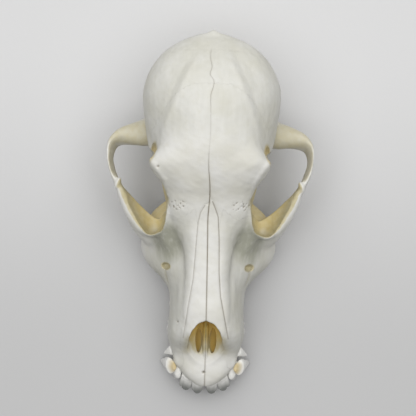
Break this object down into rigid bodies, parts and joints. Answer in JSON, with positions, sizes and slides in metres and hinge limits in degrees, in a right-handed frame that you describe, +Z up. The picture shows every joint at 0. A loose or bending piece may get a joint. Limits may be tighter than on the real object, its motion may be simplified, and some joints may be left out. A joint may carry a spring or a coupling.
{
  "type": "dog skull",
  "caption": "Dry, clean cranium of a young small dog with its upper teeth and no lower jaw, life size, lying as it rests.",
  "frame": {"origin": "middle of the skull's box, on the floor that it rests on", "axes": "+Y from the nose to the nape, +Z up, +X to the animal's left"},
  "size_m": [0.0876, 0.1518, 0.0582],
  "materials": {
    "bone": "dry, whitened bone, matt with a faint sheen"
  },
  "bodies": {
    "root": {"bulla_left": "bone", "bulla_right": "bone", "cheek_left": "bone", "cheek_right": "bone", "frontal_left": "bone", "frontal_right": "bone", "maxilla_left": "bone", "maxilla_right": "bone", "nasal_left": "bone", "nasal_right": "bone", "occipital": "bone", "parietal_left": "bone", "parietal_right": "bone", "premaxilla_left": "bone", "premaxilla_right": "bone", "skull_base": "bone", "temporal_left": "bone", "temporal_right": "bone"}
  },
  "joints": []
}
